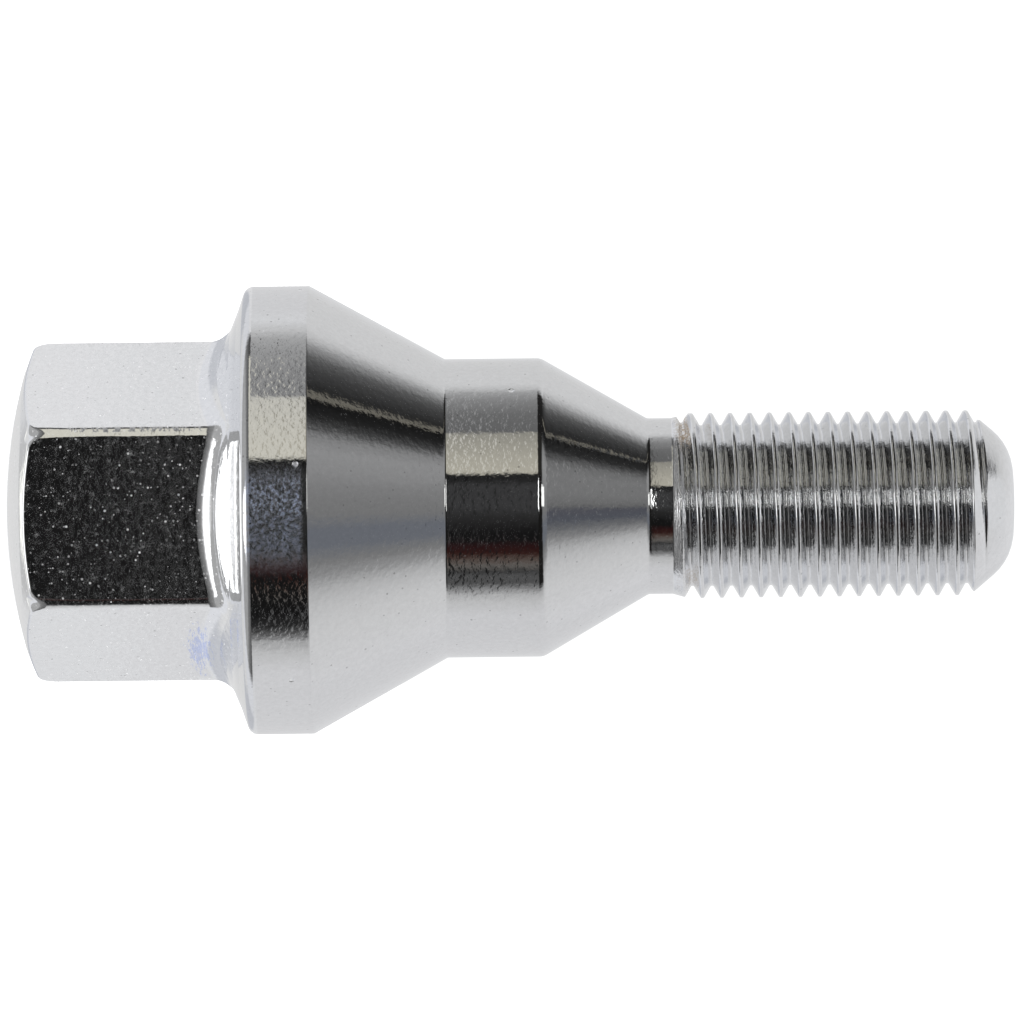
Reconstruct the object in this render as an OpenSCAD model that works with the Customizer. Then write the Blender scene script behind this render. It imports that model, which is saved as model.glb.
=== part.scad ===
// Wheel bolt with a hexagonal head, a tapered seat and a fine right-hand thread.
// One forged and turned piece. It stands on its domed head, with the thread pointing up.
// Sizes are in millimetres. The origin is the middle of the small flat that ends the dome, on the axis.

/* [Head] */
// Width across the flats of the hexagon
hex_width = 19; // [17:0.5:21]
// Radius along the six upright corners
hex_corner_round = 1; // [0.6:0.1:1.6]
// Height from the dome to the flange, at the middle of a flat
head_height = 13.7; // [10:0.05:18]
// Radius of the dome that ends the head
dome_radius = 33; // [29:1:45]
// Diameter of the small flat at the middle of the dome
dome_flat = 2.4; // [1.6:0.1:4]
// Diameter at which the dome gives way to the chamfer
dome_width = 17; // [14:0.5:17]
// Angle of the chamfer from the plane of the end
chamfer_angle = 21; // [18:1:30]
// Radius between the chamfer and the corners
chamfer_round = 1.7; // [1:0.1:2]
// Radius of the fillet at the foot of the hexagon
foot_fillet = 1.5; // [0.6:0.1:1.8]

/* [Flange] */
// Diameter of the flange
flange_diameter = 28.6; // [27:0.1:32]
// Height of the flange at its rim
flange_rim = 3.95; // [2.5:0.05:6]
// Slope of the back of the flange from the plane of the end
flange_slope = 20; // [10:1:25]
// Radius on the back edge of the rim
flange_round = 0.65; // [0.3:0.05:1]

/* [Seat and neck] */
// Half of the angle of the seat cone
seat_angle = 29.1; // [25:0.1:35]
// Diameter of the neck
neck_diameter = 19.05; // [16:0.05:20]
// Length of the neck
neck_length = 6.1; // [4:0.1:12]
// Half of the angle of the cone that leads into the shank
lead_angle = 30.1; // [25:0.1:40]
// Radius in the corner where the seat cone ends at the neck
seat_foot_round = 0.3; // [0.1:0.1:1]
// Radius where the neck gives way to the cone that leads into the shank
neck_round = 1; // [0.4:0.1:1.2]

/* [Shank and thread] */
// Diameter of the plain shank
shank_diameter = 11.06; // [10.8:0.02:11.2]
// Length of the plain shank
shank_length = 1.5; // [1.2:0.1:8]
// Outside diameter of the thread
thread_diameter = 11.8; // [11.76:0.02:12]
// Distance from one turn to the next
thread_pitch = 1.25; // [1:0.25:1.5]
// Length from the start of the thread to the end of the bolt
thread_length = 21.65; // [16:0.05:30]
// Width of the land on the crest of the thread
crest_land = 0.2; // [0.16:0.01:0.24]
// Diameter at which the chamfer of the tip meets the end
tip_diameter = 6.9; // [6:0.1:7.5]
// Angle of the chamfer of the tip from the axis
tip_angle = 42; // [35:1:48]
// Radius between the chamfer of the tip and the end
tip_round = 2; // [0.5:0.1:2.2]

/* [Detail] */
// Straight steps in one turn of the thread
turn_steps = 36; // [24:4:36]

/* [Hidden] */

hex_r = hex_width / 2;
flange_r = flange_diameter / 2;
neck_r = neck_diameter / 2;
shank_r = shank_diameter / 2;
thread_r = thread_diameter / 2;
tip_r = tip_diameter / 2;

// Heights along the axis, each from the one before
rim_z = back_z(flange_r);
seat_z = rim_z + flange_rim;
neck_z = seat_z + (flange_r - neck_r) / tan(seat_angle);
lead_z = neck_z + neck_length;
shank_z = lead_z + (neck_r - shank_r) / tan(lead_angle);
thread_z = shank_z + shank_length;
end_z = thread_z + thread_length;
tip_z = end_z - (thread_r - tip_r) / tan(tip_angle);

// Height of the back of the flange at a distance from the axis
function back_z(r) = head_height + (r - hex_r) * tan(flange_slope);

// Small radii, and the steps in each rounding
rim_round = 0.15;
shank_round = 1;
arc_steps = 6;

// The metric thread form: flanks at 60 degrees to each other, and a depth that goes with the pitch
flank_angle = 30;
depth_per_pitch = 0.6134;
thread_depth = depth_per_pitch * thread_pitch;
root_r = thread_r - thread_depth;
root_half = (thread_pitch - crest_land) / 2 - thread_depth * tan(flank_angle);

// Round the thread's start, the blank swells from the shank's size to the thread's over this length
swell_length = 1.5;

// Share of the thread's first turn in which its groove reaches full depth
run_in = 0.7;

// How far a cutting shape stands clear of what it cuts, and how deep shapes are sunk in each other
cut_clear = 0.1;
blank_clear = 0.05;
sunk = 1;

function unit(v) = v / norm(v);

// Points of an arc that rounds the corner at b, between the sides that run to a and c
function corner_arc(a, b, c, r) =
    let (
        to_a = unit(a - b),
        to_c = unit(c - b),
        half = acos(to_a * to_c) / 2,
        centre = b + unit(to_a + to_c) * r / sin(half),
        first = b + to_a * r / tan(half) - centre,
        last = b + to_c * r / tan(half) - centre,
        sweep = 180 - 2 * half
    )
    [for (k = [0 : arc_steps])
        centre + (first * sin(sweep * (1 - k / arc_steps)) + last * sin(sweep * k / arc_steps)) / sin(sweep)];

// A closed outline from corners given as [radius, height, rounding]
function outline(corners) =
    let (
        count = len(corners),
        at = [for (c = corners) [c[0], c[1]]]
    )
    [for (i = [0 : count - 1])
        each corners[i][2] > 0
            ? corner_arc(at[(i + count - 1) % count], at[i], at[(i + 1) % count], corners[i][2])
            : [at[i]]];

// Triangles that join rings of points into a closed skin. Each ring lists its points the same way round.
function loft_faces(rings, sides) =
    concat(
        [[for (k = [0 : sides - 1]) k]],
        [for (i = [0 : rings - 2], k = [0 : sides - 1], upper = [false, true])
            let (
                here = i * sides + k,
                next = i * sides + (k + 1) % sides
            )
            upper ? [here, here + sides, next + sides] : [here, next + sides, next]],
        [[for (k = [sides - 1 : -1 : 0]) (rings - 1) * sides + k]]
    );

// The hexagon's outline, as [x, y, direction it faces]: a rounded corner, then a flat in short steps
flat_steps = 6;
corner_steps = 4;
corner_centre = (hex_r - hex_corner_round) / cos(30);
corner_r = corner_centre + hex_corner_round;
flat_length = corner_centre;
hexagon = [for (side = [0 : 5])
    each concat(
        [for (k = [0 : corner_steps])
            let (facing = 60 * side - 30 + 60 * k / corner_steps)
            [
                corner_centre * cos(60 * side) + hex_corner_round * cos(facing),
                corner_centre * sin(60 * side) + hex_corner_round * sin(facing),
                facing
            ]],
        [for (k = [1 : flat_steps - 1])
            let (
                facing = 60 * side + 30,
                along = flat_length * (k / flat_steps - 0.5)
            )
            [
                hex_r * cos(facing) - along * sin(facing),
                hex_r * sin(facing) + along * cos(facing),
                facing
            ]]
    )];

// A ring of the foot's fillet: the hexagon grown outward where the fillet has turned by an angle.
// The fillet sinks a little into the flange, so that the two surfaces cross.
foot_turn = 90 - flange_slope;
foot_reach = foot_fillet * tan(foot_turn / 2);
foot_sink = 0.03;
function foot_ring(turned) = [for (p = hexagon)
    let (grown = foot_fillet * (1 - cos(turned)))
    [
        p[0] + grown * cos(p[2]),
        p[1] + grown * sin(p[2]),
        back_z(norm([p[0], p[1]])) - foot_reach + foot_fillet * sin(turned) + foot_sink
    ]];

// A level ring as wide as the hexagon grown by a distance
function level_ring(grown, z) = [for (p = hexagon)
    [p[0] + grown * cos(p[2]), p[1] + grown * sin(p[2]), z]];

// The hexagon from below the dome to inside the flange, with its flared foot
module hexagon_bar() {
    foot = [for (k = [0 : arc_steps]) foot_ring(foot_turn * k / arc_steps)];
    rings = concat(
        [level_ring(0, -cut_clear)],
        foot,
        [level_ring(foot_fillet * (1 - cos(foot_turn)), (rim_z + seat_z) / 2)]
    );
    polyhedron([for (ring = rings) each ring], loft_faces(len(rings), len(hexagon)), convexity = 4);
}

// The dome's centre, from which the small flat takes away the lowest point of the sphere
dome_z = sqrt(pow(dome_radius, 2) - pow(dome_flat / 2, 2));

// The turned envelope of the head: the small flat, the chamfer, its rounding, and room for the foot
module head_blank() {
    blank_r = corner_r + blank_clear;
    dome_edge_z = dome_z - sqrt(pow(dome_radius, 2) - pow(dome_width / 2, 2));
    chamfer_start_r = dome_width / 2 - dome_edge_z / tan(chamfer_angle);
    blank_z = (blank_r - chamfer_start_r) * tan(chamfer_angle);
    rotate_extrude($fn = 96)
        polygon(outline([
            [0, 0, 0],
            [chamfer_start_r, 0, 0],
            [blank_r, blank_z, chamfer_round],
            [blank_r, head_height / 2, 0],
            [flange_r, head_height / 2, 0],
            [flange_r, seat_z, 0],
            [0, seat_z, 0]
        ]));
}

module head() {
    intersection() {
        hexagon_bar();
        head_blank();
        translate([0, 0, dome_z])
            sphere(dome_radius, $fn = 128);
    }
}

// Flange, seat, neck, shank and threaded end, turned in one profile
module turned_body() {
    inner_r = hex_r - sunk;
    rotate_extrude($fn = 96)
        polygon(outline([
            [0, back_z(inner_r), 0],
            [inner_r, back_z(inner_r), 0],
            [flange_r, rim_z, flange_round],
            [flange_r, seat_z, rim_round],
            [neck_r, neck_z, seat_foot_round],
            [neck_r, lead_z, neck_round],
            [shank_r, shank_z, shank_round],
            [shank_r, thread_z - swell_length / 2, 0],
            [thread_r, thread_z + swell_length / 2, 0],
            [thread_r, tip_z, 0],
            [tip_r, end_z, tip_round],
            [0, end_z, 0]
        ]));
}

// The thread's groove as a helix, from the swell, where it deepens from nothing, out past the tip's chamfer
groove_end_z = end_z - (root_r - tip_r) / tan(tip_angle) + thread_pitch;
groove_steps = ceil((groove_end_z - thread_z) / thread_pitch * turn_steps);
groove_outer_r = thread_r + cut_clear;

// Distance from the axis to the groove's floor after a number of steps. It starts just outside the swell.
start_r = (shank_r + thread_r) / 2 + cut_clear;
function floor_r(step) =
    root_r + (start_r - root_r) * max(0, 1 - step / (run_in * turn_steps));

// The groove's section, as [distance from the axis, height]
function groove_section(floor) =
    let (wide = root_half + (groove_outer_r - floor) * tan(flank_angle))
    [[groove_outer_r, -wide], [floor, -root_half], [floor, root_half], [groove_outer_r, wide]];

module thread_groove() {
    points = [for (step = [0 : groove_steps])
        let (
            angle = 360 * step / turn_steps,
            z = thread_z + thread_pitch * step / turn_steps
        )
        for (p = groove_section(floor_r(step)))
            [p[0] * cos(angle), p[0] * sin(angle), z + p[1]]];
    polyhedron(points, loft_faces(groove_steps + 1, 4), convexity = 20);
}

module wheel_bolt() {
    color([0.78, 0.79, 0.8])
        difference() {
            union() {
                head();
                turned_body();
            }
            thread_groove();
        }
}

wheel_bolt();
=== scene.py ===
"""A chrome-plated wheel bolt that stands on its domed head, on a pale studio floor.

Lengths are in millimetres, apart from what is given to Blender, which is in metres.
The bolt's axis is Z. Azimuth runs from +X towards +Y.
One flat of the hexagon faces -Y, which is the camera's side.
"""
import math

import bpy
import numpy as np
from mathutils import Matrix, Vector


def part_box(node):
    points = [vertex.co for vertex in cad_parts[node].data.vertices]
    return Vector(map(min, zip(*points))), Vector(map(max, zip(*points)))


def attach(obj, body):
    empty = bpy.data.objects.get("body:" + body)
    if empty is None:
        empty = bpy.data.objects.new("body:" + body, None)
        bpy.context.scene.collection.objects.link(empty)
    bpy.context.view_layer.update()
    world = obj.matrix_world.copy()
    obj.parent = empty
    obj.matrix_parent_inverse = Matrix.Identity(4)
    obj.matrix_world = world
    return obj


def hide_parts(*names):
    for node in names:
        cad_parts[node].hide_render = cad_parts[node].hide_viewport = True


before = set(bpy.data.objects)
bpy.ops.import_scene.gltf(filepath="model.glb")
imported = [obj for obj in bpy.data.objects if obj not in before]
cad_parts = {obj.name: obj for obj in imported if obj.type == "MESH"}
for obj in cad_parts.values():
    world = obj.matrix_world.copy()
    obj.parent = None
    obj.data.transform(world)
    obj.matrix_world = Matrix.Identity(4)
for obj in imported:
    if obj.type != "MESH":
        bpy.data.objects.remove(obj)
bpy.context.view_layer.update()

MM = 0.001
NODE = "wheel_bolt"
NODE_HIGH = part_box(NODE)[1]

# Head
HEX_R = 9.5
CORNER_ROUND = 1.0
DOME_RADIUS = 33.0
DOME_EDGE_R = 8.9
DOME_FLAT_R = 1.2
CHAMFER_ANGLE = math.radians(21)
# Where the chamfer ends at the wall: the rounding along a flat and at a corner's middle,
# and how far round the axis the corner's rounding reaches
FLAT_EDGE_ROUND = 0.2
CORNER_EDGE_ROUND = 1.5
CORNER_EDGE_REACH = math.radians(4)
# The foot leaves the hexagon's wall in two arcs.
# Each has its radius, and how far the surface has turned at its end.
FOOT_ARCS = ((1.5, math.radians(35)), (2.5, math.radians(50)))

# Flange. Its back gets flatter in two steps towards the rim.
# Each step is a ring of [distance from the axis, height, rounding].
BACK_SLOPE = math.radians(29)
BACK_RINGS = ((11.6, 14.37, 0.5), (12.75, 14.84, 1.0))
BOX_CLEAR = 0.01
FLANGE_R = NODE_HIGH.x / MM - BOX_CLEAR
FLANGE_RIM = 4.06
FLANGE_ROUND = 0.65
RIM_ROUND = 0.08

# Seat, neck, shank and thread
SEAT_ANGLE = math.radians(29.1)
SEAT_FOOT_ROUND = 0.3
NECK_R = 9.525
NECK_LENGTH = 6.1
NECK_ROUND = 1.0
LEAD_ANGLE = math.radians(30.1)
SHANK_R = 5.61
SHANK_LENGTH = 1.638
SHANK_ROUND = 0.5
THREAD_R = 5.9
THREAD_LENGTH = 21.65
PITCH = 1.25
CREST_LAND = 0.2
DEPTH_PER_PITCH = 0.6134
FLANK_ANGLE = math.radians(30)
# The blank swells from the shank's size to the thread's, from a little before the thread starts
SWELL_BEFORE = 0.1
SWELL_LENGTH = 1.0
SWELL_ROUND = 0.4
# The groove's floor starts this far outside the shank, and is at full depth after this share of a turn
START_CLEAR = 0.14
RUN_IN = 0.7
# The helix starts this far below the thread, and its rows climb this far past the groove's end
HELIX_DROP = 0.08
HELIX_PAST_END = 0.1
# Rounding of the crests and roots
THREAD_SOFTNESS = 0.05
TIP_R = 3.55
TIP_ANGLE = math.radians(40)
TIP_ROUND = 3.6

# Steps of the mesh
CORNER_STEPS = 8
FLAT_STEPS = 28
BEND_STEPS = 6
FOOT_STEPS = 7
WALL_ROWS = 6
CHAMFER_ROWS = 11
LONGEST_STEP = 1.4
END_STEP = 0.08
# Distances from the axis of the dome's rows, and how far off its edge the rows stay
DOME_ROWS = (0.6, 1.15, 1.3, 2, 3, 4, 5, 6, 7, 8, 8.75)
DOME_EDGE_GAP = 0.1
# Rows across one turn of the thread, from one groove's middle to the next, as shares of the pitch
THREAD_ROWS = (0, 0.05, 0.09, 0.14, 0.25, 0.36, 0.41, 0.455, 0.5, 0.545, 0.59, 0.64, 0.75, 0.86, 0.91, 0.95)


# Heights above the head's end, each worked back from the tip's end
END_Z = NODE_HIGH.z / MM
TIP_Z = END_Z - (THREAD_R - TIP_R) / math.tan(TIP_ANGLE)
THREAD_Z = END_Z - THREAD_LENGTH
SWELL_Z = THREAD_Z - SWELL_BEFORE
SHANK_Z = THREAD_Z - SHANK_LENGTH
LEAD_Z = SHANK_Z - (NECK_R - SHANK_R) / math.tan(LEAD_ANGLE)
NECK_Z = LEAD_Z - NECK_LENGTH
SEAT_Z = NECK_Z - (FLANGE_R - NECK_R) / math.tan(SEAT_ANGLE)
RIM_Z = SEAT_Z - FLANGE_RIM

SWELL_R = SHANK_R + (THREAD_R - SHANK_R) * SWELL_BEFORE / SWELL_LENGTH
START_R = SHANK_R + START_CLEAR
HELIX_Z = THREAD_Z - HELIX_DROP
ROOT_R = THREAD_R - DEPTH_PER_PITCH * PITCH
ROOT_HALF = (PITCH - CREST_LAND) / 2 - (THREAD_R - ROOT_R) * math.tan(FLANK_ANGLE)
THREAD_TOP_Z = END_Z - (ROOT_R - TIP_R) / math.tan(TIP_ANGLE) + HELIX_PAST_END
CORNER_CENTRE_R = (HEX_R - CORNER_ROUND) / math.cos(math.radians(30))
CORNER_R = CORNER_CENTRE_R + CORNER_ROUND


def back_z(r):
    """Height of the flange's back at a distance from the axis, inside its first ring."""
    ring_r, ring_z, _ = BACK_RINGS[0]
    return ring_z + (r - ring_r) * math.tan(BACK_SLOPE)


def column_azimuths():
    """Directions of the mesh's columns: close together round the hexagon's corners, wider along flats."""
    found = []
    for side in range(6):
        corner = math.radians(60 * side)
        for step in range(CORNER_STEPS + 1):
            facing = math.radians(-30 + 60 * step / CORNER_STEPS)
            outward = CORNER_CENTRE_R + CORNER_ROUND * math.cos(facing)
            found.append(corner + math.atan2(CORNER_ROUND * math.sin(facing), outward))
        for step in range(1, FLAT_STEPS):
            along = CORNER_CENTRE_R * (step / FLAT_STEPS - 0.5)
            found.append(corner + math.radians(30) + math.atan2(along, HEX_R))
    return np.sort(np.array(found) % (2 * math.pi))


TURN = column_azimuths()
COLUMNS = len(TURN)


def hexagon_radius(grown=0.0):
    """Distance from the axis to the hexagon's wall, moved outward by a distance, for each column."""
    from_flat = np.abs(TURN % math.radians(60) - math.radians(30))
    from_corner = math.radians(30) - from_flat
    on_flat = (HEX_R + grown) / np.cos(from_flat)
    chord = np.maximum((CORNER_ROUND + grown) ** 2 - (CORNER_CENTRE_R * np.sin(from_corner)) ** 2, 0)
    on_corner = CORNER_CENTRE_R * np.cos(from_corner) + np.sqrt(chord)
    return np.where((HEX_R + grown) * np.tan(from_flat) < CORNER_CENTRE_R / 2, on_flat, on_corner)


def foot_steps():
    """Steps along the foot, each as how far it has moved outward from the wall and how far it has risen."""
    steps = [(0.0, 0.0)]
    turned = 0.0
    for radius, turned_to in FOOT_ARCS:
        grown, risen = steps[-1]
        for angle in np.linspace(turned, turned_to, FOOT_STEPS + 1)[1:]:
            steps.append((
                grown + radius * (math.cos(turned) - math.cos(angle)),
                risen + radius * (math.sin(angle) - math.sin(turned)),
            ))
        turned = turned_to
    return steps


def bend(corner, before, after, weight):
    """Rows of a curve that rounds a corner, from one point before it to one after it.

    All three are pairs of distance from the axis and height. The weight is the cosine of half the turn for a
    circle, and 1 for a parabola.
    """
    rows = []
    for s in np.linspace(0, 1, BEND_STEPS + 1):
        first, middle, last = (1 - s) ** 2, 2 * weight * s * (1 - s), s * s
        whole = first + middle + last
        rows.append([(first * before[i] + middle * corner[i] + last * after[i]) / whole for i in (0, 1)])
    return rows


def rounded(corner, before, after, radius):
    """Rows of a circle's arc that rounds a corner between the points before and after it."""
    into = np.array(corner) - before
    out = np.array(after) - corner
    into = into / np.hypot(into[0], into[1])
    out = out / np.hypot(out[0], out[1])
    half_turn = np.arccos(np.clip((into * out).sum(axis=0), -1, 1)) / 2
    reach = radius * np.tan(half_turn)
    return bend(corner, corner - into * reach, corner + out * reach, np.cos(half_turn))


def blank_z(r):
    """Height of the turned end of the head, its flat, dome and chamfer, at a distance from the axis."""
    dome_z = math.sqrt(DOME_RADIUS ** 2 - DOME_FLAT_R ** 2)
    dome = dome_z - np.sqrt(DOME_RADIUS ** 2 - np.clip(r, DOME_FLAT_R, DOME_EDGE_R) ** 2)
    return dome + np.maximum(r - DOME_EDGE_R, 0) * math.tan(CHAMFER_ANGLE)


def edge_rounding():
    """Rounding between the chamfer and the wall for each column: small on flats, larger at corners."""
    from_corner = math.radians(30) - np.abs(TURN % math.radians(60) - math.radians(30))
    near = np.clip(1 - from_corner / CORNER_EDGE_REACH, 0, 1)
    return FLAT_EDGE_ROUND + (CORNER_EDGE_ROUND - FLAT_EDGE_ROUND) * near ** 2 * (3 - 2 * near)


def head_rows():
    """Rows from the dome's middle to the flange's sloped back, each a pair of arrays for the columns."""
    wall = hexagon_radius()
    flat = np.ones(COLUMNS)
    rows = [(flat * r, blank_z(flat * r)) for r in DOME_ROWS]
    edge_round = edge_rounding()
    reach = edge_round * math.tan((math.radians(90) - CHAMFER_ANGLE) / 2)
    edge_r = wall - reach * math.cos(CHAMFER_ANGLE)
    chamfer_r = DOME_EDGE_R + DOME_EDGE_GAP
    for share in np.linspace(0, 1, CHAMFER_ROWS + 1)[:-1]:
        r = chamfer_r + (edge_r - chamfer_r) * share
        rows.append((r, blank_z(r)))
    edge = np.array([wall, blank_z(wall)])
    inward = [[math.cos(CHAMFER_ANGLE)], [math.sin(CHAMFER_ANGLE)]]
    rows += rounded(edge, edge - inward, edge + [[0], [1]], edge_round)
    steps = foot_steps()
    last_grown, last_risen = steps[-1]
    foot_z = back_z(hexagon_radius(last_grown)) - last_risen
    wall_z = rows[-1][1]
    for share in np.linspace(0, 1, WALL_ROWS + 1)[1:-1]:
        rows.append((wall, wall_z + (foot_z - wall_z) * share))
    rows += [(hexagon_radius(grown), foot_z + risen) for grown, risen in steps]
    return rows


def turned_rows(start, corners):
    """Rows from a starting row along corners of [distance from the axis, height, rounding].

    Long straight stretches are split. The last corner only gives the direction and isn't reached.
    """
    rows = [start]
    flat = np.ones(COLUMNS)
    points = [np.array([flat * c[0], flat * c[1]]) for c in corners]
    for i, (_, _, radius) in enumerate(corners[:-1]):
        before = np.array(rows[-1])
        arc = rounded(points[i], before, points[i + 1], radius) if radius else [points[i]]
        first = np.array(arc[0])
        length = np.hypot(*(first - before)).max()
        if length > LONGEST_STEP:
            pieces = math.ceil(length / LONGEST_STEP)
            shares = [END_STEP / length, *(k / pieces for k in range(1, pieces)), 1 - END_STEP / length]
            rows += [before + (first - before) * share for share in shares]
        rows += arc
    return rows[1:]


def soft_min(a, b, softness):
    """The smaller of two sizes, with the corner between them rounded."""
    mix = np.clip(0.5 + (b - a) / (2 * softness), 0, 1)
    return b + (a - b) * mix - softness * mix * (1 - mix)


def thread_radius(turn, z):
    """Distance from the axis to the threaded surface, for an azimuth and a height."""
    swell = SHANK_R + (THREAD_R - SHANK_R) * np.clip((z - SWELL_Z) / SWELL_LENGTH, 0, 1)
    chamfer = THREAD_R - (z - TIP_Z) * math.tan(TIP_ANGLE)
    blank = np.minimum(swell, chamfer)
    turns = (z - HELIX_Z) / PITCH - turn / (2 * math.pi)
    groove = np.round(turns)
    from_middle = np.abs(turns - groove) * PITCH
    turns_in = groove + turn / (2 * math.pi)
    floor = ROOT_R + (START_R - ROOT_R) * np.clip(1 - turns_in / RUN_IN, 0, 1)
    flank = floor + (from_middle - ROOT_HALF) / math.tan(FLANK_ANGLE)
    cut = -soft_min(-floor, -flank, THREAD_SOFTNESS)
    cut = np.where(turns_in < 0, THREAD_R + 1, cut)
    return soft_min(blank, cut, THREAD_SOFTNESS)


def thread_rows():
    """Rows that climb with the thread, as arrays of heights, held between the thread's two ends."""
    first = -1
    last = math.ceil((THREAD_TOP_Z - THREAD_Z) / PITCH) + 1
    starts = [turn + share for turn in range(first, last) for share in THREAD_ROWS] + [last]
    return [np.clip(HELIX_Z + PITCH * (s + TURN / (2 * math.pi)), THREAD_Z, THREAD_TOP_Z) for s in starts]


class Skin:
    """Collects points and faces of one closed mesh, row by row."""

    def __init__(self):
        self.points = []
        self.faces = []
        self.below = None

    def add_point(self, r, z, turn):
        self.points.append((r * math.cos(turn) * MM, r * math.sin(turn) * MM, z * MM))
        return len(self.points) - 1

    def add_ring(self, row):
        """A level or waved ring, joined to the one before it."""
        ring = [self.add_point(row[0][k], row[1][k], TURN[k]) for k in range(COLUMNS)]
        if self.below is not None:
            self.join(self.below + self.below[:1], ring + ring[:1])
        self.below = ring

    def join(self, low, high):
        """Faces between two lists of points, leaving out the points that both or two columns share."""
        for k in range(COLUMNS):
            corners = (low[k], low[k + 1], high[k + 1], high[k])
            kept = list(dict.fromkeys(corners))
            if len(kept) > 2:
                self.faces.append(kept)

    def close(self, z, upward):
        """A fan from the newest ring to a point on the axis."""
        middle = self.add_point(0, z, 0)
        ring = self.below + self.below[:1]
        for k in range(COLUMNS):
            self.faces.append((ring[k], ring[k + 1], middle) if upward else (ring[k + 1], ring[k], middle))


def add_thread(skin):
    """Rows that climb round the bolt. Where a row ends, it meets the row that starts one turn higher."""
    heights = thread_rows()
    low_ring = skin.below
    top = [skin.add_point(thread_radius(turn, THREAD_TOP_Z), THREAD_TOP_Z, turn) for turn in TURN]
    rows = []
    for row in heights:
        radii = thread_radius(TURN, row)
        ids = []
        for k in range(COLUMNS):
            if row[k] <= THREAD_Z:
                ids.append(low_ring[k])
            elif row[k] >= THREAD_TOP_Z:
                ids.append(top[k])
            else:
                ids.append(skin.add_point(radii[k], row[k], TURN[k]))
        rows.append(ids)
    per_turn = len(THREAD_ROWS)
    ends = [rows[min(i + per_turn, len(rows) - 1)][0] for i in range(len(rows))]
    for i in range(len(rows) - 1):
        skin.join(rows[i] + [ends[i]], rows[i + 1] + [ends[i + 1]])
    skin.below = top


def bolt_mesh():
    """The whole bolt as one closed mesh."""
    skin = Skin()
    head = head_rows()
    skin.add_ring(head[0])
    skin.close(0, upward=False)
    for row in head[1:]:
        skin.add_ring(row)
    for row in turned_rows(head[-1], [
        *BACK_RINGS,
        [FLANGE_R, RIM_Z, FLANGE_ROUND],
        [FLANGE_R, SEAT_Z, RIM_ROUND],
        [NECK_R, NECK_Z, SEAT_FOOT_ROUND],
        [NECK_R, LEAD_Z, NECK_ROUND],
        [SHANK_R, SHANK_Z, SHANK_ROUND],
        [SHANK_R, SWELL_Z, SWELL_ROUND],
        [SWELL_R, THREAD_Z, 0],
        [THREAD_R, SWELL_Z + SWELL_LENGTH, 0],
    ]):
        skin.add_ring(row)
    add_thread(skin)
    flat = np.ones(COLUMNS)
    chamfer_row = (flat * thread_radius(0, THREAD_TOP_Z), flat * THREAD_TOP_Z)
    end_rows = turned_rows(chamfer_row, [
        [TIP_R, END_Z, TIP_ROUND],
        [0, END_Z, 0],
        [0, END_Z, 0],
    ])
    for row in end_rows[:-1]:
        skin.add_ring(row)
    skin.close(END_Z, upward=True)
    mesh = bpy.data.meshes.new(NODE + "_chrome")
    mesh.from_pydata(skin.points, [], skin.faces)
    mesh.validate()
    mesh.shade_smooth()
    return mesh


def add_node(tree, kind, inputs=None, **settings):
    """A shader node with its settings, and its inputs as values or as sockets to link."""
    node = tree.nodes.new(kind)
    for name, value in settings.items():
        setattr(node, name, value)
    for key, value in (inputs or {}).items():
        if isinstance(value, bpy.types.NodeSocket):
            tree.links.new(value, node.inputs[key])
        else:
            node.inputs[key].default_value = value
    return node


def math_node(tree, operation, a, b=0.0, c=0.0):
    """The result of a sum with up to three numbers."""
    return add_node(tree, "ShaderNodeMath", {0: a, 1: b, 2: c}, operation=operation).outputs[0]


def vector_node(tree, operation, a, b):
    return add_node(tree, "ShaderNodeVectorMath", {0: a, 1: b}, operation=operation)


def scaled(tree, vector, scale):
    """A vector or colour times a number."""
    return add_node(tree, "ShaderNodeVectorMath", {0: vector, "Scale": scale}, operation="SCALE").outputs[0]


def smooth_step(tree, value, low, high):
    """0 below the first value and 1 above the second, or the reverse, with a soft change between them."""
    ramp = add_node(
        tree, "ShaderNodeMapRange", {"Value": value, "From Min": low, "From Max": high},
        interpolation_type="SMOOTHSTEP", clamp=True,
    )
    return ramp.outputs["Result"]


def band(tree, value, low, high, soft):
    """1 between two values and 0 outside them, with soft edges."""
    return math_node(
        tree, "MULTIPLY", smooth_step(tree, value, low - soft, low + soft),
        smooth_step(tree, value, high + soft, high - soft),
    )


def product(tree, first, *others):
    """Values multiplied together."""
    for other in others:
        first = math_node(tree, "MULTIPLY", first, other)
    return first


def total(tree, first, *others):
    """Values added up."""
    for other in others:
        first = math_node(tree, "ADD", first, other)
    return first


def mix_colour(tree, share, a, b):
    """A colour that goes from the first to the second as the share goes from 0 to 1."""
    node = tree.nodes.new("ShaderNodeMix")
    node.data_type = "RGBA"
    for key, value in ((0, share), (6, a), (7, b)):
        if isinstance(value, bpy.types.NodeSocket):
            tree.links.new(value, node.inputs[key])
        else:
            node.inputs[key].default_value = value
    return node.outputs[2]


def noise(tree, place, scale, detail, roughness):
    """Noise between 0 and 1."""
    inputs = {"Vector": place, "Scale": scale, "Detail": detail, "Roughness": roughness}
    return add_node(tree, "ShaderNodeTexNoise", inputs).outputs["Fac"]


def turn_from_front(tree, parts):
    """Angle round the axis, from -Y towards -X, of a place or direction that is split in its parts."""
    return math_node(
        tree, "ARCTAN2", product(tree, parts.outputs["X"], -1), product(tree, parts.outputs["Y"], -1)
    )


def in_radians(degrees):
    return [math.radians(angle) for angle in degrees]


def bump(tree, height, depth, strength=1.0, normal=None):
    """A bump as deep as its depth in millimetres where the height runs from 0 to 1."""
    inputs = {"Height": height, "Distance": depth * MM, "Strength": strength}
    if normal is not None:
        inputs["Normal"] = normal
    return add_node(tree, "ShaderNodeBump", inputs).outputs[0]


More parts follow.
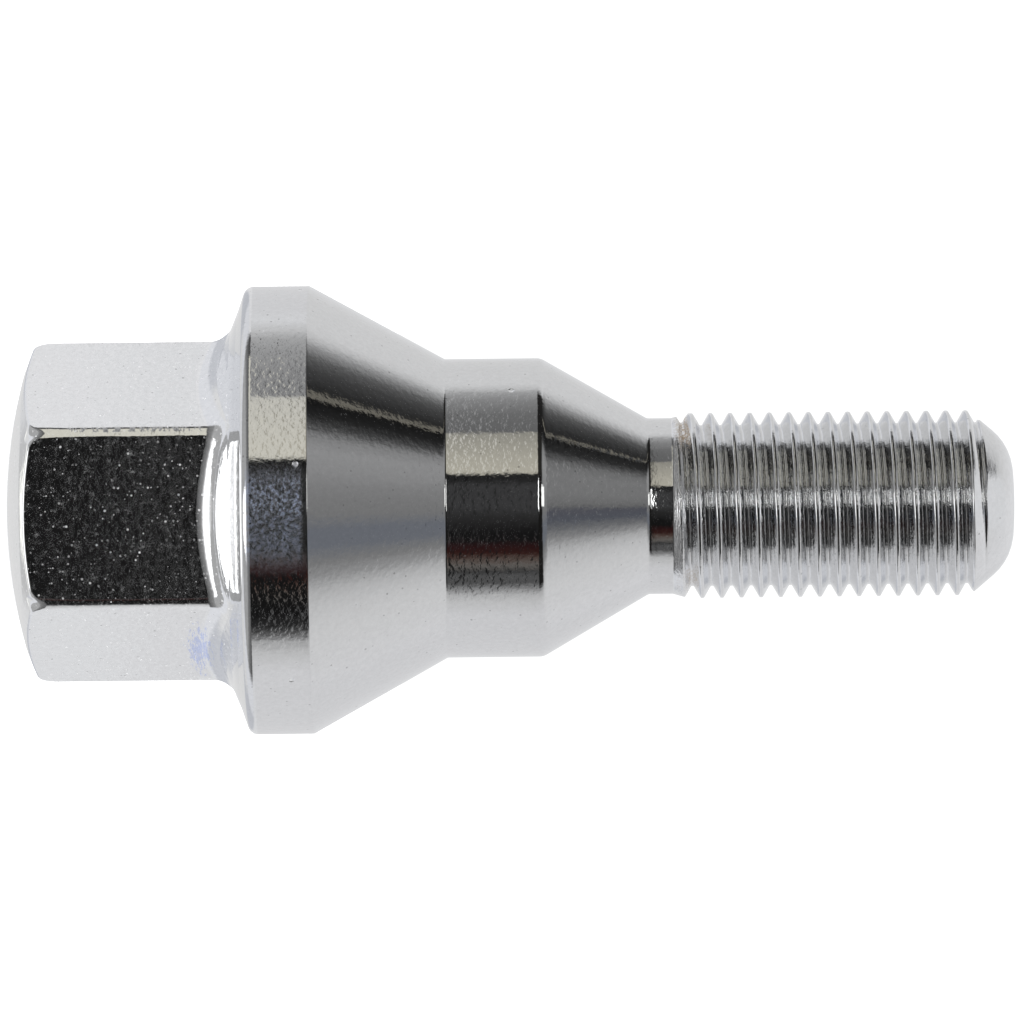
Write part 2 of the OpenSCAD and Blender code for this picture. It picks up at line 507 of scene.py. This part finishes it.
# Heights on the bolt, and how soft the edges between its zones are
HEAD_TOP_Z = 14.6
FOOT_LOW_Z = 12.6
ZONE_EDGE = 0.3
THREAD_EDGE = 0.2
THREAD_START = (-0.05, 0.8)
THREAD_START_EDGE = 0.1
# The head's upright edges, as distances inside the corners' outermost line
CORNER_EDGE_INSIDE = (0.3, 0.12)

# Noises: scale per millimetre, detail and roughness. Two of them are pressed along the axis.
FORGED_NOISE = (2.2, 2.0, 0.55)
DRAWN_NOISE = (2.6, 2.0, 0.5)
DRAWN_PRESS = (1, 1, 1.1)
STREAK_NOISE = (1.6, 3.0, 0.65)
STREAK_PRESS = (1, 1, 5)
EDGE_NOISE = (1.0, 3.0, 0.55)
MOTTLE_NOISE = (4.5, 3.0, 0.65)
SHADE_NOISE = (3.2, 3.0, 0.65)
HAZE_NOISE = (2.6, 4.0, 0.65)

# Depths of the bumps
FORGED_DEPTH = 0.006
DRAWN_DEPTH = 0.0062
CORNER_EDGE_DEPTH = 0.022
FOOT_DEPTH = 0.004
MOTTLE_DEPTH = 0.0008
THREAD_STREAK_DEPTH = 0.005
THREAD_MOTTLE_DEPTH = 0.009
START_STREAK_DEPTH = 0.03
NICK_DEPTH = -0.06

# Specks: cells per millimetre, and in cells the least radius, what luck adds to it, and the soft edge
SPECK_SCALE = 4.2
SPECK_RADIUS = 0.2
SPECK_RADIUS_LUCK = 0.2
SPECK_EDGE = 0.12
# A few are bright and most are faint: a power of their luck, with its share, and the share of luck itself
SPECK_POWER = 7.0
SPECK_BRIGHT = 0.7
SPECK_FAINT = 0.12
# How much of them shows off the head
SPECK_OFF_HEAD = 0.05
# The luckiest cells are pits, darkened by this share with painted shade
PIT_LUCK = (0.94, 0.99)
PIT_PAINTED_SHADE = -0.35

# Nicks: their places and radius
NICKS = ((10.25, -9.97, 18.2), (-14.1, -2.4, 18.9), (-7.66, -5.67, 32.2), (-3.46, -13.87, 18.7))
NICK_RADIUS = 0.2

# Film on the rim, whose blue is partly a painted bluish sheen: degrees from the front flat, how far it keeps
# from the rim's edges, and its thin places
FILM_SHEEN_TURN = (-10, 12)
FILM_SHEEN_TURN_EDGE = math.radians(5)
FILM_SHEEN_FROM_RIM = 0.25
FILM_SHEEN_FROM_SEAT = 0.35
FILM_SHEEN_EDGE = 0.15
FILM_SHEEN_MOTTLE = (0.36, 0.64)
FILM_SHEEN_THINNEST = 0.15

# Smudge on the head: its place, how it is pressed, its radius, and how soft and how ragged its outline is
SMUDGE_PLACE = (8.57, -4.15, 12.3)
SMUDGE_PRESS = (0.8, 0.8, 3)
SMUDGE_RADIUS = 2.5
SMUDGE_EDGE = 1.8
SMUDGE_RAGGED = 9.0

# Tarnish in the first groove: its heights, how deep under the crests, and on which sides
TARNISH_Z = (42.6, 44.0)
TARNISH_UNDER_CREST = (0.05, 0.4)
TARNISH_SIDE = (3.4, 4.6)
TARNISH_X = (12.0, -6.0)
TARNISH_MOTTLE = (0.42, 0.6)

# The thin haze on the chrome: its usual strength on the head and on the turned parts, and how uneven it is
HEAD_HAZE = 0.009
BODY_HAZE = 0.0012
HAZE_CONTRAST = 200000.0

# Reflected colours of the chrome, and of what lies on it
# The head's chrome is lighter than the rest's: painted light, standing in for the brighter reflection that
# the head shows
HEAD_CHROME_PAINTED_BRIGHT = (0.89, 0.895, 0.905, 1)
BODY_CHROME = (0.81, 0.815, 0.825, 1)
# The film's blue is partly a real film and partly a painted bluish sheen on the rim
FILM_SHEEN_BLUE = (0.68, 0.76, 0.98, 1)
SMUDGE_BLUE = (0.42, 0.52, 0.9, 1)
SMUDGE_TINT = 0.6
TARNISH_BROWN = (0.42, 0.3, 0.17, 1)
TARNISH_TINT = 0.9
# The chrome's shade: how much it varies, and its least
SHADE_RANGE = 0.2
SHADE_LEAST = 0.9

# How much light each scatters, and how much roughness each adds to the plate's own
FILM_SCATTER = 0.14
TARNISH_SCATTER = 0.4
NICK_SCATTER = 0.3
SMUDGE_SCATTER = 0.1
PLATE_ROUGH = 0.02
DRAWN_ROUGH = 0.03
FILM_ROUGH = 0.12
TARNISH_ROUGH = 0.2


def chrome_material():
    """Bright chrome plate, lighter on the head as painted light, with orange peel, specks, pits darkened by
    painted shade, nicks, a film that is partly a painted bluish sheen, a blue smudge and a little tarnish.
    """
    material = bpy.data.materials.new("chrome_steel")
    material.use_nodes = True
    tree = material.node_tree
    shader = tree.nodes["Principled BSDF"]
    metres = add_node(tree, "ShaderNodeTexCoord").outputs["Object"]
    place = scaled(tree, metres, 1 / MM)
    parts = add_node(tree, "ShaderNodeSeparateXYZ", {0: place})
    height = parts.outputs["Z"]
    level_place = vector_node(tree, "MULTIPLY", place, (1, 1, 0)).outputs["Vector"]
    from_axis = vector_node(tree, "LENGTH", level_place, (0, 0, 0)).outputs["Value"]
    front_turn = turn_from_front(tree, parts)
    on_head = smooth_step(tree, height, HEAD_TOP_Z + ZONE_EDGE, HEAD_TOP_Z - ZONE_EDGE)
    off_head = math_node(tree, "SUBTRACT", 1, on_head)
    on_edges = product(
        tree, on_head, smooth_step(tree, from_axis, *(CORNER_R - inside for inside in CORNER_EDGE_INSIDE))
    )
    on_foot = band(tree, height, FOOT_LOW_Z, HEAD_TOP_Z, ZONE_EDGE)
    on_thread = smooth_step(tree, height, THREAD_Z - THREAD_EDGE, THREAD_Z + THREAD_EDGE)
    at_start = band(tree, height, *(THREAD_Z + above for above in THREAD_START), THREAD_START_EDGE)

    # Orange peel, a little drawn out round the axis on the turned parts, and marks of rolling on the thread
    drawn_place = vector_node(tree, "MULTIPLY", place, DRAWN_PRESS).outputs["Vector"]
    streak_place = vector_node(tree, "MULTIPLY", place, STREAK_PRESS).outputs["Vector"]
    forged = noise(tree, place, *FORGED_NOISE)
    drawn = noise(tree, drawn_place, *DRAWN_NOISE)
    streaks = noise(tree, streak_place, *STREAK_NOISE)
    edge_peel = noise(tree, place, *EDGE_NOISE)
    mottle = noise(tree, place, *MOTTLE_NOISE)
    normal = bump(tree, forged, FORGED_DEPTH, on_head)
    normal = bump(tree, drawn, DRAWN_DEPTH, off_head, normal)
    normal = bump(tree, edge_peel, CORNER_EDGE_DEPTH, on_edges, normal)
    normal = bump(tree, edge_peel, FOOT_DEPTH, on_foot, normal)
    normal = bump(tree, mottle, MOTTLE_DEPTH, 1.0, normal)
    normal = bump(tree, streaks, THREAD_STREAK_DEPTH, on_thread, normal)
    normal = bump(tree, mottle, THREAD_MOTTLE_DEPTH, on_thread, normal)
    normal = bump(tree, streaks, START_STREAK_DEPTH, at_start, normal)

    # Specks, each of its own size and brightness, clear on the head and faint elsewhere
    cells = add_node(
        tree, "ShaderNodeTexVoronoi", {"Vector": place, "Scale": SPECK_SCALE, "Randomness": 1.0}
    )
    luck = add_node(tree, "ShaderNodeSeparateColor", {0: cells.outputs["Color"]})
    reach = math_node(tree, "MULTIPLY_ADD", luck.outputs[1], SPECK_RADIUS_LUCK, SPECK_RADIUS)
    near = math_node(tree, "SUBTRACT", reach, cells.outputs["Distance"])
    speck = smooth_step(tree, near, 0.0, SPECK_EDGE)
    pit_shade = product(tree, speck, smooth_step(tree, luck.outputs[2], *PIT_LUCK))
    bright = math_node(tree, "POWER", luck.outputs[0], SPECK_POWER)
    faint = product(tree, luck.outputs[0], SPECK_FAINT)
    bright = math_node(tree, "MULTIPLY_ADD", bright, SPECK_BRIGHT, faint)
    shown = math_node(tree, "MULTIPLY_ADD", on_head, 1 - SPECK_OFF_HEAD, SPECK_OFF_HEAD)
    speck = product(tree, speck, bright, shown)

    # Nicks, and what lies on the plate. The film there is partly a painted bluish sheen
    nick = 0.0
    for nick_place in NICKS:
        away = vector_node(tree, "DISTANCE", place, nick_place).outputs["Value"]
        nick = math_node(tree, "ADD", smooth_step(tree, away, NICK_RADIUS, NICK_RADIUS / 2), nick)
    normal = bump(tree, nick, NICK_DEPTH, 1.0, normal)
    film_and_sheen = product(
        tree, band(tree, front_turn, *in_radians(FILM_SHEEN_TURN), FILM_SHEEN_TURN_EDGE),
        band(tree, height, RIM_Z + FILM_SHEEN_FROM_RIM, SEAT_Z - FILM_SHEEN_FROM_SEAT, FILM_SHEEN_EDGE),
        math_node(
            tree, "MULTIPLY_ADD", smooth_step(tree, mottle, *FILM_SHEEN_MOTTLE), 1 - FILM_SHEEN_THINNEST, FILM_SHEEN_THINNEST
        ),
    )
    offset = vector_node(tree, "SUBTRACT", place, SMUDGE_PLACE).outputs["Vector"]
    offset = vector_node(tree, "MULTIPLY", offset, SMUDGE_PRESS).outputs["Vector"]
    away = vector_node(tree, "LENGTH", offset, (0, 0, 0)).outputs["Value"]
    away = math_node(tree, "SUBTRACT", away, SMUDGE_RAGGED / 2)
    ragged = math_node(tree, "MULTIPLY_ADD", streaks, SMUDGE_RAGGED, away)
    smudge = smooth_step(tree, ragged, SMUDGE_RADIUS, SMUDGE_RADIUS - SMUDGE_EDGE)
    side = math_node(tree, "ABSOLUTE", parts.outputs["X"])
    tarnish = product(
        tree, band(tree, height, *TARNISH_Z, ZONE_EDGE),
        smooth_step(tree, from_axis, *(THREAD_R - under for under in TARNISH_UNDER_CREST)),
        smooth_step(tree, side, *TARNISH_SIDE), smooth_step(tree, mottle, *TARNISH_MOTTLE),
        smooth_step(tree, parts.outputs["X"], *TARNISH_X),
    )

    # The lighter chrome on the head is painted light for its brighter reflection
    tint = mix_colour(tree, on_head, BODY_CHROME, HEAD_CHROME_PAINTED_BRIGHT)
    shade = math_node(tree, "MULTIPLY_ADD", noise(tree, place, *SHADE_NOISE), SHADE_RANGE, SHADE_LEAST)
    # Painted shade darkens the pits
    shade = product(tree, shade, math_node(tree, "MULTIPLY_ADD", pit_shade, PIT_PAINTED_SHADE, 1.0))
    tint = scaled(tree, tint, shade)
    # The film's blue is partly a painted sheen
    tint = mix_colour(tree, film_and_sheen, tint, FILM_SHEEN_BLUE)
    tint = mix_colour(tree, product(tree, smudge, SMUDGE_TINT), tint, SMUDGE_BLUE)
    tint = mix_colour(tree, product(tree, tarnish, TARNISH_TINT), tint, TARNISH_BROWN)
    tree.links.new(tint, shader.inputs["Base Color"])

    # What scatters light: a thin uneven haze, specks, film, tarnish, nicks and smudge
    fine = noise(tree, place, *HAZE_NOISE)
    uneven = math_node(tree, "POWER", HAZE_CONTRAST, math_node(tree, "SUBTRACT", fine, 0.5))
    haze = product(tree, uneven, math_node(tree, "MULTIPLY_ADD", on_head, HEAD_HAZE - BODY_HAZE, BODY_HAZE))
    scatter = total(
        tree, haze, speck, product(tree, film_and_sheen, FILM_SCATTER), product(tree, tarnish, TARNISH_SCATTER),
        product(tree, nick, NICK_SCATTER), product(tree, smudge, SMUDGE_SCATTER),
    )
    metal = math_node(tree, "SUBTRACT", 1, scatter)
    tree.links.new(metal, shader.inputs["Metallic"])
    rough = total(
        tree, product(tree, drawn, DRAWN_ROUGH), product(tree, film_and_sheen, FILM_ROUGH),
        product(tree, tarnish, TARNISH_ROUGH), PLATE_ROUGH,
    )
    tree.links.new(rough, shader.inputs["Roughness"])
    tree.links.new(normal, shader.inputs["Normal"])
    return material


# The shading follows the larger of two faces as far as this weight allows, so that flats look flat
FLAT_FACE_WEIGHT = 100


def add_bolt():
    bolt = bpy.data.objects.new(NODE + "_chrome", bolt_mesh())
    bpy.context.scene.collection.objects.link(bolt)
    bolt.data.materials.append(chrome_material())
    smooth = bolt.modifiers.new("flat_faces_lead", "WEIGHTED_NORMAL")
    smooth.weight = FLAT_FACE_WEIGHT
    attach(bolt, "root")
    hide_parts(NODE)


def grey(value):
    return (value, value, value)


# The studio, as the chrome reflects it. Angles are degrees from a direction near the camera's towards -X.
STUDIO_TURN = math.radians(3.5)
WHITE_WALL = (0.76, 0.765, 0.775)
BRIGHT_WALL = (0.8, 0.8, 0.81)
LOWER_WALL = (0.72, 0.72, 0.73)
SHADED_WALL = grey(0.6)
BEIGE_CARD = (0.665, 0.645, 0.565)
BEIGE_CARD_EDGE = (0.62, 0.605, 0.55)
LIT_DULL_CARD = (0.49, 0.465, 0.39)
DULL_CARD = (0.44, 0.42, 0.355)
DULL_CARD_EDGE = (0.31, 0.3, 0.26)
HEAD_ROOM = grey(0.008)
DARK_ROOM = grey(0.024)
GREY_ROOM = (0.045, 0.045, 0.046)
BLACK_CLOTH = grey(0.008)
RED_EDGE = (0.034, 0.012, 0.01)
MOTTLED_CLOTH = grey(0.09)

# What stands round the bolt as the hexagon, the flange, and the neck and the thread see it
HEAD_RING = (
    (-180, WHITE_WALL), (-104, WHITE_WALL), (-80, SHADED_WALL), (-73, grey(0.42)), (-68, grey(0.13)),
    (-64, grey(0.03)), (-56, BLACK_CLOTH), (-36, BLACK_CLOTH), (-30, RED_EDGE), (-25, (0.05, 0.042, 0.042)),
    (-20, HEAD_ROOM), (22, HEAD_ROOM), (24.5, BLACK_CLOTH), (26, BEIGE_CARD), (84, BEIGE_CARD),
    (86, grey(0.08)), (100, grey(0.08)), (104, BRIGHT_WALL), (180, BRIGHT_WALL),
)
FLANGE_RING = (
    (-180, LOWER_WALL), (-92, LOWER_WALL), (-80, SHADED_WALL), (-73, grey(0.42)), (-68, grey(0.13)),
    (-64, grey(0.03)), (-56, BLACK_CLOTH), (-36, BLACK_CLOTH), (-31, (0.034, 0.023, 0.024)),
    (-26, (0.05, 0.042, 0.042)), (-21, DARK_ROOM), (18, DARK_ROOM), (22, BLACK_CLOTH), (24.5, BLACK_CLOTH),
    (26, BEIGE_CARD), (58, BEIGE_CARD_EDGE), (60.5, grey(0.29)), (76, grey(0.31)), (90, grey(0.38)),
    (98, grey(0.45)), (104, SHADED_WALL), (114, WHITE_WALL), (125, LOWER_WALL), (180, LOWER_WALL),
)
NECK_RING = (
    (-180, WHITE_WALL), (-150, LOWER_WALL), (-92, (0.69, 0.69, 0.7)), (-78, SHADED_WALL), (-72, grey(0.5)),
    (-66, grey(0.26)), (-61, MOTTLED_CLOTH), (-55, MOTTLED_CLOTH), (-51, grey(0.045)),
    (-46, (0.13, 0.12, 0.11)), (-41, (0.09, 0.066, 0.056)), (-36, RED_EDGE), (-31, (0.023, 0.008, 0.008)),
    (-26, BLACK_CLOTH), (-20, BLACK_CLOTH), (-12, grey(0.02)), (-8, grey(0.027)), (0, GREY_ROOM),
    (16, GREY_ROOM), (20, grey(0.02)), (24, grey(0.02)), (26, LIT_DULL_CARD), (38, DULL_CARD),
    (58, DULL_CARD_EDGE), (60.5, grey(0.14)), (76, grey(0.165)), (90, grey(0.26)), (98, grey(0.37)),
    (104, SHADED_WALL), (110, grey(0.7)), (150, grey(0.7)), (172, WHITE_WALL),
)
# What hangs over it, as the seat and as the cone at the neck's other end see it
BLUE_GREY = (0.155, 0.165, 0.187)
CARD_EDGE = (0.17, 0.16, 0.135)
SEAT_OVERHEAD = (
    (-180, BRIGHT_WALL), (-123, (0.74, 0.74, 0.75)), (-86, grey(0.68)), (-77, grey(0.65)), (-69, grey(0.6)),
    (-59, grey(0.5)), (-49, grey(0.31)), (-39, grey(0.208)), (-28, BLUE_GREY), (-16, BLUE_GREY),
    (-5, grey(0.2)), (6, grey(0.215)), (17, grey(0.24)), (28, grey(0.285)), (41, grey(0.31)),
    (50, grey(0.25)), (58, grey(0.07)), (64, grey(0.02)), (74.5, BLACK_CLOTH), (76.5, CARD_EDGE),
    (78.5, CARD_EDGE),
    (80.5, grey(0.02)), (86, grey(0.035)), (94, grey(0.06)), (101, grey(0.115)), (109, grey(0.33)),
    (114, grey(0.52)), (119, grey(0.64)), (125, grey(0.69)), (145, grey(0.7)), (180, BRIGHT_WALL),
)
LEAD_OVERHEAD = (
    (-180, BRIGHT_WALL), (-123, (0.75, 0.75, 0.76)), (-86, grey(0.68)), (-77, grey(0.65)), (-69, grey(0.62)),
    (-59, grey(0.56)), (-49, grey(0.46)), (-39, grey(0.27)), (-28, (0.155, 0.157, 0.163)),
    (-17, (0.09, 0.096, 0.113)), (-6, (0.088, 0.09, 0.106)), (1, grey(0.15)), (6, grey(0.175)),
    (17, grey(0.2)), (39, grey(0.207)), (50, grey(0.17)), (58, grey(0.075)), (64, grey(0.025)),
    (75, grey(0.02)), (76.5, grey(0.08)),
    (78.5, grey(0.06)), (80.5, grey(0.025)), (86, grey(0.042)), (94, grey(0.064)), (101, grey(0.105)),
    (109, grey(0.33)), (114, grey(0.49)), (119, grey(0.58)), (130, grey(0.66)), (145, grey(0.71)),
    (180, BRIGHT_WALL),
)
# The light table below it, by degrees below level, in shares of its brightest: first the part towards the
# camera, and then the part away from it
TABLE_GLOW = 2.0
TABLE_FRONT = (
    (0, grey(0.02)), (11, grey(0.05)), (21, grey(0.09)), (31, grey(0.12)), (36, grey(0.2)), (41, grey(0.47)),
    (45, grey(0.75)), (50, grey(0.95)), (66, grey(0.95)), (72, grey(0.6)), (77, grey(0.38)), (81, grey(0.3)),
    (86, grey(0.25)), (90, grey(0.25)),
)
TABLE_BACK = (
    (0, grey(0.37)), (28, grey(0.37)), (33, grey(0.27)), (36, grey(0.27)), (40, (0.75, 0.75, 0.7)),
    (50, (0.75, 0.75, 0.7)), (62, grey(0.42)), (90, grey(0.34)),
)
# To the side it is even at first, and further round it changes by degrees below level
TABLE_SIDE = (0.76, 0.77, 0.8, 1)
TABLE_FAR_SIDE = (
    (0, (0.285, 0.292, 0.31)), (33, (0.285, 0.292, 0.31)), (39, grey(0.375)), (60, grey(0.375)),
    (90, grey(0.35)),
)
# Towards the camera, the table is no brighter than its shade outside its lit part, between these two angles
TABLE_LIT_TURN = (-30, 14)
TABLE_LIT_EDGE = math.radians(4)
TABLE_SHADE = 0.4
# Degrees to either side, from the camera's, over which one part of the table gives way to the next
TABLE_TO_SIDE = (95, 108)
TABLE_TO_FAR_SIDE = (130, 140)
TABLE_TO_BACK = (166, 175)

# Heights in the studio are the sine of the angle above level. First, where one ring gives way to the next.
HEAD_TO_FLANGE_UP = (-0.046, -0.04)
FLANGE_TO_NECK_UP = (-0.022, -0.008)
RING_TO_OVERHEAD_UP = (0.42, 0.58)
OVERHEAD_TO_WHITE_UP = (0.88, 0.96)
RING_TO_TABLE_UP = (-0.12, -0.2)
# Between the cards and what hangs over the bolt there is a dark gap, and the thread sees its lower edge
GAP_UP = (0.03, 0.1)
GAP_TURN = (-66, 100)
GAP_EDGE = math.radians(4)
GAP_SHARE = 0.97
GAP_DARK = (0.01, 0.0095, 0.009, 1)
# A lamp and a small bright card, whose edges to either side are sharper
LAMP_UP = (0.41, 0.7)
LAMP_UP_EDGE = 0.03
LAMP_TURN = (0.5, 17.5)
LAMP_LIGHT = (1.3, 1.3, 1.26, 1)
SMALL_CARD_UP = (0.065, 0.12)
SMALL_CARD_UP_EDGE = 0.012
SMALL_CARD_TURN = (-3, 21)
SMALL_CARD_LIGHT = (3.0, 3.0, 2.95, 1)
SHARP_EDGE = math.radians(1.5)
# How steep a reflection is where what the second cone sees takes over from what the seat sees
SEAT_TO_LEAD_STEEPNESS = (0.853, 0.866)
# What the camera itself sees
BACKDROP_COLOUR = (1, 1, 1, 1)
BACKDROP_STRENGTH = 1.1

# On a cone, how far a place is turned from the camera, as a share of how far its reflection is turned
CONE_TURN_SHARE = 0.357


def colour_ramp(tree, share, stops, low, high):
    """Colours along a share from 0 to 1, given at stops of an angle that runs from low to high."""
    ramp = add_node(tree, "ShaderNodeValToRGB", {"Fac": share})
    elements = ramp.color_ramp.elements
    while len(elements) < len(stops):
        elements.new(0.5)
    for element, (angle, colour) in zip(elements, stops):
        element.position = (angle - low) / (high - low)
        element.color = (*colour, 1)
    return ramp.outputs["Color"]


def add_studio():
    """The world is what the chrome reflects: walls, cards and a dark room. The camera itself sees white."""
    world = bpy.data.worlds.new("studio")
    bpy.context.scene.world = world
    world.use_nodes = True
    tree = world.node_tree
    tree.nodes.clear()
    direction = add_node(tree, "ShaderNodeTexCoord").outputs["Generated"]
    parts = add_node(tree, "ShaderNodeSeparateXYZ", {0: direction})
    up = parts.outputs["Z"]
    angle = math_node(tree, "SUBTRACT", turn_from_front(tree, parts), STUDIO_TURN)
    away = math_node(tree, "ABSOLUTE", angle)
    turn = math_node(tree, "MULTIPLY_ADD", angle, 1 / (2 * math.pi), 0.5)
    depth = product(tree, math_node(tree, "ARCSINE", product(tree, up, -1)), 2 / math.pi)

    head_ring, flange_ring, neck_ring, seat_overhead, lead_overhead = (
        colour_ramp(tree, turn, stops, -180, 180)
        for stops in (HEAD_RING, FLANGE_RING, NECK_RING, SEAT_OVERHEAD, LEAD_OVERHEAD)
    )
    # The second cone is steeper, so what it reflects lies a little higher for the same angle
    flattened = math_node(tree, "COSINE", product(tree, angle, CONE_TURN_SHARE))
    steepness = math_node(tree, "DIVIDE", up, flattened)
    on_lead = smooth_step(tree, steepness, *SEAT_TO_LEAD_STEEPNESS)
    overhead = mix_colour(tree, on_lead, seat_overhead, lead_overhead)
    colour = mix_colour(tree, smooth_step(tree, up, *HEAD_TO_FLANGE_UP), head_ring, flange_ring)
    colour = mix_colour(tree, smooth_step(tree, up, *FLANGE_TO_NECK_UP), colour, neck_ring)
    gap = product(
        tree, smooth_step(tree, up, *GAP_UP), GAP_SHARE, band(tree, angle, *in_radians(GAP_TURN), GAP_EDGE)
    )
    colour = mix_colour(tree, gap, colour, GAP_DARK)
    small_card = product(
        tree, band(tree, up, *SMALL_CARD_UP, SMALL_CARD_UP_EDGE),
        band(tree, angle, *in_radians(SMALL_CARD_TURN), SHARP_EDGE),
    )
    colour = mix_colour(tree, small_card, colour, SMALL_CARD_LIGHT)
    colour = mix_colour(tree, smooth_step(tree, up, *RING_TO_OVERHEAD_UP), colour, overhead)
    colour = mix_colour(tree, smooth_step(tree, up, *OVERHEAD_TO_WHITE_UP), colour, (*WHITE_WALL, 1))
    lamp = product(
        tree, band(tree, up, *LAMP_UP, LAMP_UP_EDGE), band(tree, angle, *in_radians(LAMP_TURN), SHARP_EDGE)
    )
    colour = mix_colour(tree, lamp, colour, LAMP_LIGHT)

    table_front, table_far_side, table_back = (
        scaled(tree, colour_ramp(tree, depth, stops, 0, 90), TABLE_GLOW)
        for stops in (TABLE_FRONT, TABLE_FAR_SIDE, TABLE_BACK)
    )
    shaded = vector_node(tree, "MINIMUM", table_front, grey(TABLE_SHADE)).outputs["Vector"]
    table_lit = band(tree, angle, *in_radians(TABLE_LIT_TURN), TABLE_LIT_EDGE)
    below = mix_colour(tree, table_lit, shaded, table_front)
    for turns, table_part in (
        (TABLE_TO_SIDE, TABLE_SIDE), (TABLE_TO_FAR_SIDE, table_far_side), (TABLE_TO_BACK, table_back),
    ):
        below = mix_colour(tree, smooth_step(tree, away, *in_radians(turns)), below, table_part)
    colour = mix_colour(tree, smooth_step(tree, up, *RING_TO_TABLE_UP), colour, below)

    seen = add_node(tree, "ShaderNodeLightPath").outputs["Is Camera Ray"]
    lit = add_node(tree, "ShaderNodeBackground", {"Color": colour, "Strength": 1.0})
    backdrop = add_node(
        tree, "ShaderNodeBackground", {"Color": BACKDROP_COLOUR, "Strength": BACKDROP_STRENGTH}
    )
    mixed = add_node(tree, "ShaderNodeMixShader", {0: seen, 1: lit.outputs[0], 2: backdrop.outputs[0]})
    add_node(tree, "ShaderNodeOutputWorld", {0: mixed.outputs[0]})


# Floor and top light, with lengths in metres
FLOOR_SIZE = 4.0
FLOOR_COLOUR = (0.9, 0.9, 0.9, 1)
FLOOR_ROUGHNESS = 0.8
FLOOR_GLOW_COLOUR = (1, 1, 1, 1)
FLOOR_GLOW = 0.75
TOP_LIGHT_SIZE = 1.2
TOP_LIGHT_POWER = 12
TOP_LIGHT_HEIGHT = 1.2


def add_floor():
    """A pale floor that glows a little, as a light table does. The chrome sees the studio in its place."""
    mesh = bpy.data.meshes.new("floor")
    half = FLOOR_SIZE / 2
    corners = [(-half, -half, 0), (half, -half, 0), (half, half, 0), (-half, half, 0)]
    mesh.from_pydata(corners, [], [(0, 1, 2, 3)])
    floor = bpy.data.objects.new("floor", mesh)
    bpy.context.scene.collection.objects.link(floor)
    floor.visible_glossy = False
    material = bpy.data.materials.new("pale_floor")
    material.use_nodes = True
    shader = material.node_tree.nodes["Principled BSDF"]
    shader.inputs["Base Color"].default_value = FLOOR_COLOUR
    shader.inputs["Roughness"].default_value = FLOOR_ROUGHNESS
    shader.inputs["Emission Color"].default_value = FLOOR_GLOW_COLOUR
    shader.inputs["Emission Strength"].default_value = FLOOR_GLOW
    mesh.materials.append(material)


def add_top_light():
    """A large soft light overhead, for the floor and its shadow alone."""
    light = bpy.data.lights.new("top_light", "AREA")
    light.shape = "DISK"
    light.size = TOP_LIGHT_SIZE
    light.energy = TOP_LIGHT_POWER
    lamp = bpy.data.objects.new("top_light", light)
    lamp.location = (0, 0, TOP_LIGHT_HEIGHT)
    lamp.visible_glossy = False
    bpy.context.scene.collection.objects.link(lamp)


# The camera looks level at the bolt's middle. The bolt's axis lies across the picture, its tip to the right.
CAMERA_DISTANCE = 560.0
PICTURE_WIDTH = 65.09
SENSOR = 36.0
TARGET_Z = 32.035
TARGET_SIDE = 0.153
CAMERA_AZIMUTH = math.radians(2.5)
AXIS_TILT = math.radians(0.635)
# The nearest and farthest that it sees, in metres
CAMERA_NEAR = 0.01
CAMERA_FAR = 20


def add_camera():
    camera = bpy.data.cameras.new("camera")
    camera.sensor_width = SENSOR
    camera.lens = SENSOR * CAMERA_DISTANCE / PICTURE_WIDTH
    camera.clip_start = CAMERA_NEAR
    camera.clip_end = CAMERA_FAR
    forward = Vector((math.sin(CAMERA_AZIMUTH), math.cos(CAMERA_AZIMUTH), 0))
    side = Vector((math.cos(CAMERA_AZIMUTH), -math.sin(CAMERA_AZIMUTH), 0))
    along = Vector((0, 0, 1))
    right = along * math.cos(AXIS_TILT) + side * math.sin(AXIS_TILT)
    up = along * math.sin(AXIS_TILT) - side * math.cos(AXIS_TILT)
    target = along * TARGET_Z + side * TARGET_SIDE
    view = bpy.data.objects.new("camera", camera)
    view.matrix_world = Matrix.Translation((target - forward * CAMERA_DISTANCE) * MM) @ Matrix(
        (right, up, -forward)
    ).transposed().to_4x4()
    bpy.context.scene.collection.objects.link(view)
    bpy.context.scene.camera = view


bpy.context.scene.view_settings.view_transform = "Standard"
add_camera()
add_studio()
add_floor()
add_top_light()
add_bolt()
